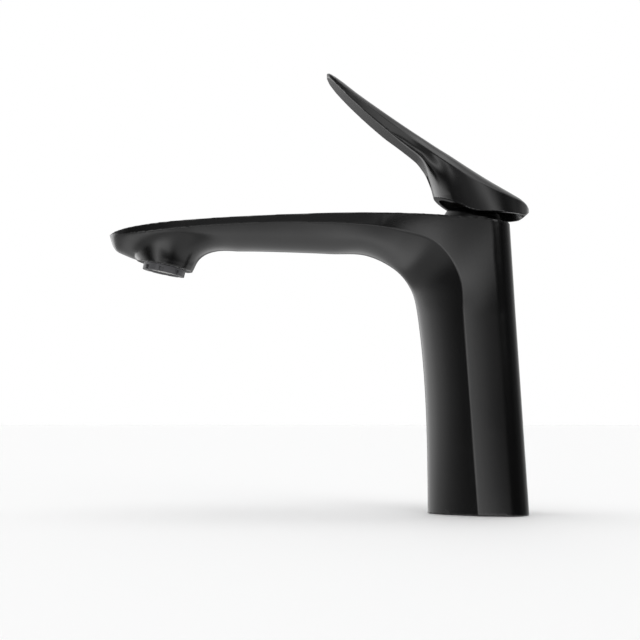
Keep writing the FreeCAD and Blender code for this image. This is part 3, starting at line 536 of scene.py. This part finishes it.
# The handle's lower edge: the blade's underside, the neck's front and the hub's rim.
BLADE_TIP, BLADE_END, RIM_FRONT = (-74.5, 210.8), (-29.8, 169.8), (-22.0, 151.0)
BLADE_PULLS = ((-60.5, 194.05), (-43.45, 180.45))
NECK_PULLS = ((-27.2, 167.3), (-24.1, 159.2))
RIM_LINE = (RIM_FRONT, (-16.0, 147.9), (-11.5, 145.9), (-7.3, 143.3), (-2.5, 142.1), (6.0, 141.7),
            (15.0, 141.5), (20.5, 141.6), (24.2, 144.2))
HUB_LENGTH, HUB_HALF, HUB_CENTRE, HANDLE_WALL = 22.7, 19.7, 0.8, 0.9
# The hub's hollow, and how much narrower, shorter and further forward it is at its top.
HOLLOW_LOW, HOLLOW_HIGH = 138.0, 153.0
HOLLOW_NARROWER, HOLLOW_SHORTER, HOLLOW_FORWARD = 4.4, 2.4, 0.6
CEILING = ((-30, 130), (-30, 152.0), (8.0, 152.0), (24.0, 142.4), (24.0, 130))
# The boss round the stem's square and the set screw's way, in the stem's frame.
BOSS_RADIUS, BOSS_LOW, BOSS_HIGH = 7.5, 18.0, 38.0
SOCKET_HALF, SOCKET_LOW, SOCKET_HIGH = 3.54, 17.0, 22.7
SCREW_RADIUS, SCREW_HEIGHT, SCREW_START, SCREW_END = 2.54, 20.5, -3.52, -43.5


def handle_section(y, top, crease_half, crease, low_half, low):
    """One upright section: a flat bottom, leaning sides and a low crown from crease to crease."""
    bottom = [(x, low) for x in np.linspace(-low_half, low_half, 17)]
    side = [(low_half + t * (crease_half - low_half), low + t * (crease - low))
            for t in np.linspace(0, 1, 17)[1:]]
    crown = bezier([(crease_half, crease), (0.62 * crease_half, top + 0.02 * (top - crease)),
                    (0.3 * crease_half, top), (0, top)], 17)[1:]
    right = side + [tuple(p) for p in crown]
    left = [(-x, z) for x, z in right[::-1][1:]]
    return [(x, y, z) for x, z in bottom + right + left]


def hub_round():
    """Ovals that round the hub's front in plan and open out upwards to clear the blade."""
    return lofted("hub_round", [oval(half, (OVAL_REAR - front) / 2, (OVAL_REAR + front) / 2, z, 144)
                                for z, front, half in HUB_OVALS])


def below_handle():
    """Everything under the handle's lower edge, well past it on all sides."""
    under = list(bezier([BLADE_TIP, *BLADE_PULLS, BLADE_END], 60))
    under += list(bezier([BLADE_END, *NECK_PULLS, RIM_FRONT], 24)[1:])
    under += list(through(RIM_LINE, 0.7)[1:])
    rear, front, low = 40, -90, 120
    outer = [(rear, 145.0), (rear, low), (front, low), (front, BLADE_TIP[1])]
    return region("below", [*map(tuple, under), *outer], 40)


def around_the_hub(points):
    """Where the blade's underside flows into the hub's rounded front, off the screw's way."""
    ahead = 1 - eased_step(points[:, 1], -15.0, -6.0)
    crease = np.interp(points[:, 1], [row[0] for row in HANDLE_ROWS], [row[3] for row in HANDLE_ROWS])
    below_crease = eased_step(crease - points[:, 2], 2.0, 6.0)
    off_centre = eased_step(np.abs(points[:, 0]), SCREW_RADIUS + 0.06, 7.0)
    along_blade = eased_step(points[:, 1], -46.0, -34.0)
    return ahead * below_crease * eased_step(points[:, 2], 151.0, 156.0) * along_blade * off_centre


def on_stem(x, y, z):
    """A place given in the stem's frame."""
    return STEM @ Vector((x, y, z))


def hub_hollow():
    """The hub's hollow, narrower upwards and under a ceiling, round the boss that holds the stem."""
    length, half = HUB_LENGTH - HANDLE_WALL, HUB_HALF - HANDLE_WALL
    top_half, top_length = half - HOLLOW_NARROWER, length - HOLLOW_SHORTER
    top_centre = HUB_CENTRE - HOLLOW_FORWARD
    hollow = lofted("hollow", [oval(half, length, HUB_CENTRE, HOLLOW_LOW, 96),
                               oval(top_half, top_length, top_centre, HOLLOW_HIGH, 96)])
    combine(hollow, [region("ceiling", CEILING, 30)], "INTERSECT")
    boss = cylinder("boss", BOSS_RADIUS, on_stem(0, 0, BOSS_LOW), on_stem(0, 0, BOSS_HIGH))
    return combine(hollow, [boss], "DIFFERENCE")


def stem_socket():
    """The square socket for the stem."""
    s = SOCKET_HALF
    corners = [(-s, -s), (s, -s), (s, s), (-s, s)]
    return lofted("socket", [[on_stem(x, y, z) for x, y in corners] for z in (SOCKET_LOW, SOCKET_HIGH)])


def screw_way():
    """The set screw's way from the socket to the hub's front."""
    start, end = on_stem(0, SCREW_START, SCREW_HEIGHT), on_stem(0, SCREW_END, SCREW_HEIGHT)
    return cylinder("screw_way", SCREW_RADIUS, start, end)


def handle():
    """The lever: lofted, trimmed below, rounded in front, skinned, melted together and hollowed."""
    rows = np.array(HANDLE_ROWS)
    places = np.concatenate([rows[:2, 0], np.linspace(-72.5, 22.0, 120), rows[-2:, 0]])
    form = lofted("lever_handle", [handle_section(*row) for row in eased(rows[:, 0], rows, places)])
    combine(form, [below_handle()], "DIFFERENCE")
    combine(form, [hub_round()], "INTERSECT")
    remeshed(form, 0.4, 4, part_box("handle"))
    blended(form, around_the_hub, 120)
    return smooth_shaded(combine(form, [hub_hollow(), stem_socket(), screw_way()], "DIFFERENCE"))


# ------------------------------------------------------------------ cap

CAP_CROWN = ((14.2, 1.6), (14.1, 4.2), (12.6, 6.6), (9.9, 7.0))
CAP_FOOT = ((13.2, 0.35), (13.4, 0.1), (13.9, 0.1), (14.2, 0.4))
CAP_INSIDE = ((9.6, 7.0), (9.3, 6.75), (9.3, 6.2), (9.5, 6.0), (9.7, 6.0), (11.6, 4.6), (13.2, 3.2))


def dome_cap():
    """The domed ring over the cartridge, turned from a (radius, height) profile."""
    profile = [*CAP_FOOT, *map(tuple, bezier(CAP_CROWN, 22)), *CAP_INSIDE]
    return smooth_shaded(turned("cartridge_cap", profile, CARTRIDGE))


# ------------------------------------------------------------------ materials

# The colour sockets of a Mix node.
MIX_FIRST, MIX_SECOND, MIX_RESULT = 6, 7, 2


def node(tree, kind, **settings):
    """A shader node with its inputs or properties set by name."""
    made = tree.nodes.new(kind)
    for key, setting in settings.items():
        if key in made.inputs:
            made.inputs[key].default_value = setting
        else:
            setattr(made, key, setting)
    return made


def ramp(tree, factor, stops):
    """A smooth value ramp from (position, grey) stops."""
    made = tree.nodes.new("ShaderNodeValToRGB")
    made.color_ramp.interpolation = "EASE"
    elements = made.color_ramp.elements
    while len(elements) < len(stops):
        elements.new(0.5)
    for element, (place, grey) in zip(elements, stops):
        element.position = place
        element.color = (grey, grey, grey, 1)
    tree.links.new(factor, made.inputs["Fac"])
    return made.outputs["Color"]


def mixed(tree, factor, first, second):
    """Blends two colours, each given as a triple or as an output socket."""
    made = tree.nodes.new("ShaderNodeMix")
    made.data_type = "RGBA"
    tree.links.new(factor, made.inputs["Factor"])
    for at, what in ((MIX_FIRST, first), (MIX_SECOND, second)):
        if isinstance(what, tuple):
            made.inputs[at].default_value = (*what, 1)
        else:
            tree.links.new(what, made.inputs[at])
    return made.outputs[MIX_RESULT]


CLOUD_STOPS = ((0.3, 0.0), (0.7, 1.0))
WEAR_STOPS = ((0.53, 0.0), (0.62, 1.0))
WEAR_SHARE, WORN_GAIN = 0.5, 1.25


def finish(name, color, roughness, metallic=0.0, spread=0.15, grain=1500.0, depth=0.00001, worn=None,
           cloud=60.0, rough_spread=0.06, ior=1.5):
    """A moulded, coated, cast or machined surface: cloudy colour, uneven gloss, fine grain and worn edges."""
    material = bpy.data.materials.new(name)
    material.use_nodes = True
    tree = material.node_tree
    shader = tree.nodes["Principled BSDF"]
    shader.inputs["Metallic"].default_value = metallic
    shader.inputs["IOR"].default_value = ior
    place = tree.nodes.new("ShaderNodeTexCoord").outputs["Object"]
    clouds = node(tree, "ShaderNodeTexNoise", Scale=cloud, Detail=4.0)
    fine = node(tree, "ShaderNodeTexNoise", Scale=grain, Detail=3.0)
    for texture in (clouds, fine):
        tree.links.new(place, texture.inputs["Vector"])
    darker = tuple(c * (1 - spread) for c in color)
    lighter = tuple(min(1.0, c * (1 + spread)) for c in color)
    tint = mixed(tree, ramp(tree, clouds.outputs["Fac"], CLOUD_STOPS), darker, lighter)
    edges = ramp(tree, tree.nodes.new("ShaderNodeNewGeometry").outputs["Pointiness"], WEAR_STOPS)
    rubbed = node(tree, "ShaderNodeMath", operation="MULTIPLY")
    rubbed.inputs[1].default_value = WEAR_SHARE
    tree.links.new(edges, rubbed.inputs[0])
    worn = worn or tuple(min(1.0, WORN_GAIN * c) for c in color)
    tree.links.new(mixed(tree, rubbed.outputs[0], tint, worn), shader.inputs["Base Color"])
    gloss = node(tree, "ShaderNodeMapRange")
    gloss.inputs["To Min"].default_value = roughness - rough_spread
    gloss.inputs["To Max"].default_value = roughness + rough_spread
    tree.links.new(clouds.outputs["Fac"], gloss.inputs["Value"])
    tree.links.new(gloss.outputs["Result"], shader.inputs["Roughness"])
    bump = node(tree, "ShaderNodeBump", Strength=0.5, Distance=depth)
    tree.links.new(fine.outputs["Fac"], bump.inputs["Height"])
    tree.links.new(bump.outputs["Normal"], shader.inputs["Normal"])
    return material


FINISHES = {
    "matte_black_coating": finish("satin_black", (0.0022, 0.0022, 0.0024), 0.24, spread=0.1, grain=2200.0,
                                  depth=0.000012, worn=(0.005, 0.005, 0.0053), cloud=35.0, rough_spread=0.04),
    "black_rubber": finish("black_rubber", (0.018, 0.018, 0.018), 0.7, grain=900.0, depth=0.00004),
    "white_plastic": finish("white_plastic", (0.78, 0.78, 0.75), 0.42),
    "dark_plastic": finish("dark_plastic", (0.045, 0.046, 0.05), 0.45),
    "red_plastic": finish("red_plastic", (0.5, 0.03, 0.025), 0.4),
    "white_ceramic": finish("white_ceramic", (0.85, 0.83, 0.79), 0.12, rough_spread=0.03),
    "grey_ceramic": finish("grey_ceramic", (0.24, 0.24, 0.26), 0.14, rough_spread=0.03),
    "steel": finish("steel", (0.58, 0.58, 0.57), 0.28, metallic=1.0, grain=1200.0),
    "brass": finish("brass", (0.68, 0.5, 0.24), 0.3, metallic=1.0, grain=1200.0),
    "index_plastic": finish("index_plastic", (0.02, 0.02, 0.022), 0.3),
    "aerator_grey": finish("aerator_grey", (0.09, 0.09, 0.095), 0.4),
    "pale_plastic": finish("pale_plastic", (0.62, 0.62, 0.6), 0.4),
}


def painted(obj, slot_name):
    obj.data.materials.clear()
    obj.data.materials.append(FINISHES[slot_name])
    return obj


SLOTS = {row["node"]: row["material_slot"] for row in frame["record"]["subparts"]}
for label, cad in NODES.items():
    for spot in cad.material_slots:
        spot.material = FINISHES[SLOTS[label]]

for piece, cad_node, ridden in ((body(), "body_casting", "fixture"), (handle(), "handle", "lever"),
                                (dome_cap(), "dome_cap", "fixture")):
    painted(piece, SLOTS[cad_node])
    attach(piece, ridden)
    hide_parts(cad_node)


# ------------------------------------------------------------------ stage, light and camera

FLOOR_HALF, FLOOR_DROP = 6.0, 0.0002


def floor():
    """A plain pale floor just under the object, left out of its reflections."""
    mesh = bpy.data.meshes.new("floor")
    h = FLOOR_HALF
    mesh.from_pydata([(-h, -h, 0), (h, -h, 0), (h, h, 0), (-h, h, 0)], [], [(0, 1, 2, 3)])
    obj = bpy.data.objects.new("floor", mesh)
    bpy.context.scene.collection.objects.link(obj)
    obj.location.z = -FLOOR_DROP
    obj.visible_glossy = False
    material = bpy.data.materials.new("pale_floor")
    material.use_nodes = True
    shader = material.node_tree.nodes["Principled BSDF"]
    shader.inputs["Base Color"].default_value = (0.92, 0.92, 0.92, 1)
    shader.inputs["Roughness"].default_value = 0.9
    mesh.materials.append(material)


# Rings of light, each (degrees from +X towards -Y, brightness), and the elevations between which they stand.
LOW_FRONT = ((-180, 0.2), (-165, 0.3), (-150, 0.9), (-125, 0.5), (-90, 0.15), (-50, 0.02), (-20, 0.0))
LOW_SIDE = ((26, 3.0), (31, 2.2), (36, 1.2), (43, 0.3), (51, 0.03), (58, 0.06), (68, 0.35), (82, 1.1),
            (100, 2.3), (125, 2.9), (146, 2.6), (156, 0.9))
LOW_FOOT = (*LOW_FRONT, (4, 0.0), (9, 0.15), (14, 0.45), (20, 0.9), *LOW_SIDE, (166, 0.2), (180, 0.2))
LOW = (*LOW_FRONT, (4, 0.05), (9, 0.6), (14, 1.15), (20, 1.7), *LOW_SIDE, (166, 0.2), (180, 0.2))
LOW_TILTED = (*LOW_FRONT, (-10, 0.6), (-4, 1.9), (4, 2.7), (10, 3.0), *LOW_SIDE, (166, 0.2), (180, 0.2))
LOW_RAISED = ((-180, 0.9), (-150, 0.9), *LOW_FRONT[3:-1], (-20, 0.05), (-7, 0.2), (0, 1.1), (6, 1.3),
              (14, 1.5), (20, 1.7), *LOW_SIDE, (180, 0.9))
HIGH = ((-180, 1.5), (-160, 0.8), (-140, 0.5), (-110, 0.4), (-64, 0.02), (-54, 0.1), (-44, 1.0),
        (-34, 1.9), (-25, 1.3), (-16, 0.7), (-9, 0.4), (1, 0.35), (8, 0.35), (14, 0.3), (28, 0.15),
        (50, 0.1), (90, 0.5), (130, 0.8), (160, 0.8), (180, 1.5))
UNDER = ((-180, 1.2), (-90, 1.0), (-20, 0.6), (0, 0.6), (12, 1.15), (20, 1.5), (30, 1.7), (60, 2.1),
         (90, 2.0), (120, 1.5), (180, 1.2))
BELOW = ((-180, 1.4), (-90, 1.1), (-20, 0.9), (0, 0.9), (30, 0.85), (60, 0.65), (90, 0.8), (180, 1.4))
ABOVE = ((-180, 2.3), (180, 2.3))
RINGS = ((-90, UNDER), (-60, UNDER), (-42, BELOW), (-24, BELOW), (-15, LOW_TILTED), (-11, LOW_TILTED),
         (-8, LOW_FOOT), (-4, LOW_FOOT), (0, LOW), (3, LOW), (8, LOW_RAISED), (15, HIGH), (48, HIGH),
         (70, ABOVE))
BRIGHTEST = 3.2


def studio():
    """White to the camera, and around the object bright panels with dark gaps between them."""
    world = bpy.data.worlds.new("studio")
    world.use_nodes = True
    tree = world.node_tree
    tree.nodes.clear()
    out = tree.nodes.new("ShaderNodeOutputWorld")
    direction = tree.nodes.new("ShaderNodeTexCoord").outputs["Generated"]
    parts = node(tree, "ShaderNodeSeparateXYZ")
    tree.links.new(direction, parts.inputs[0])
    turned_y = node(tree, "ShaderNodeMath", operation="MULTIPLY")
    turned_y.inputs[1].default_value = -1.0
    tree.links.new(parts.outputs["Y"], turned_y.inputs[0])
    azimuth = node(tree, "ShaderNodeMath", operation="ARCTAN2")
    tree.links.new(turned_y.outputs[0], azimuth.inputs[0])
    tree.links.new(parts.outputs["X"], azimuth.inputs[1])
    share = node(tree, "ShaderNodeMapRange")
    share.inputs["From Min"].default_value = -math.pi
    share.inputs["From Max"].default_value = math.pi
    tree.links.new(azimuth.outputs[0], share.inputs["Value"])
    elevation = node(tree, "ShaderNodeMath", operation="ARCSINE")
    tree.links.new(parts.outputs["Z"], elevation.inputs[0])
    light = None
    for (start, _), (end, ring) in zip(RINGS, RINGS[1:]):
        stops = [((a + 180) / 360, b / BRIGHTEST) for a, b in ring]
        here = ramp(tree, share.outputs["Result"], stops)
        rise = node(tree, "ShaderNodeMapRange", interpolation_type="SMOOTHSTEP")
        rise.inputs["From Min"].default_value = math.radians(start)
        rise.inputs["From Max"].default_value = math.radians(end)
        tree.links.new(elevation.outputs[0], rise.inputs["Value"])
        light = mixed(tree, rise.outputs["Result"], light or here, here)
    lit = node(tree, "ShaderNodeBackground", Strength=BRIGHTEST)
    tree.links.new(light, lit.inputs["Color"])
    plain = node(tree, "ShaderNodeBackground", Color=(1, 1, 1, 1), Strength=1.0)
    shown = tree.nodes.new("ShaderNodeMixShader")
    tree.links.new(tree.nodes.new("ShaderNodeLightPath").outputs["Is Camera Ray"], shown.inputs[0])
    tree.links.new(lit.outputs[0], shown.inputs[1])
    tree.links.new(plain.outputs[0], shown.inputs[2])
    tree.links.new(shown.outputs[0], out.inputs["Surface"])
    bpy.context.scene.world = world


CAMERA_AT, CAMERA_AIM = Vector((0.620, -0.0772, 0.046)), Vector((0, -0.0772, 0.092))
SENSOR_WIDTH, FOCAL_LENGTH = 36.0, 72.78


def camera():
    """A side view from low over the deck, aimed slightly up at the middle of the object."""
    lens = bpy.data.cameras.new("camera")
    lens.sensor_width = SENSOR_WIDTH
    lens.lens = FOCAL_LENGTH
    lens.clip_start = 0.01
    lens.clip_end = 50.0
    obj = bpy.data.objects.new("camera", lens)
    bpy.context.scene.collection.objects.link(obj)
    obj.location = CAMERA_AT
    obj.rotation_euler = (CAMERA_AIM - CAMERA_AT).to_track_quat("-Z", "Y").to_euler()
    bpy.context.scene.camera = obj


floor()
studio()
camera()
bpy.context.scene.view_settings.view_transform = "Standard"
